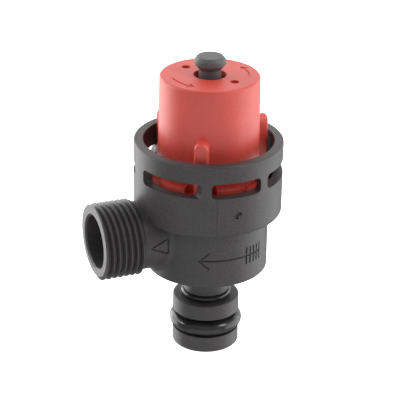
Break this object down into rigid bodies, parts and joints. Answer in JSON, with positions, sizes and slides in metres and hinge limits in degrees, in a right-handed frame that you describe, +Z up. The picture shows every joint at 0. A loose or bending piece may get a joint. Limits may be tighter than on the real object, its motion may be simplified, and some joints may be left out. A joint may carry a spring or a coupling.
{
  "type": "pressure relief valve",
  "caption": "Plastic boiler pressure relief valve: windowed dark body, red spring bonnet with a lift stem, male threaded side outlet, quick-fit O-ring spigot.",
  "frame": {"origin": "centre of the inlet spigot's end face, on the valve's own axis", "axes": "+Z up the valve from the spigot to the stem head; the threaded outlet points along -X; the plain front faces -Y"},
  "size_m": [0.0423, 0.0324, 0.0672],
  "materials": {
    "body_plastic": "glass-filled, fine speckle",
    "bonnet_plastic": "satin moulded",
    "stem_plastic": "satin moulded",
    "seal_rubber": "smooth, slightly glossy",
    "stainless": "turned",
    "spring_steel": "drawn wire",
    "brass": "turned"
  },
  "bodies": {
    "root": {"valve_body": "body_plastic", "spigot_o_ring": "seal_rubber", "neck_o_ring": "seal_rubber", "valve_seat": "stainless", "seat_o_ring": "seal_rubber", "bonnet": "bonnet_plastic", "adjusting_ring": "brass", "upper_spring_plate": "stainless", "main_spring": "spring_steel", "diaphragm_clamp_ring": "stem_plastic", "diaphragm": "seal_rubber"},
    "stem": {"valve_stem": "stem_plastic", "disc_holder": "brass", "disc_seal": "seal_rubber", "seal_washer": "stainless", "disc_screw": "stainless", "lower_spring_plate": "stainless", "diaphragm_plate": "stainless"}
  },
  "joints": [
    {"name": "stem_lift", "type": "slide", "parent": "root", "child": "stem", "axis": [0, 0, 1], "range_m": [0, 0.0025], "stiffness_N_per_m": 4750, "springref_m": -0.0035, "deforming": ["main_spring", "diaphragm"]}
  ]
}
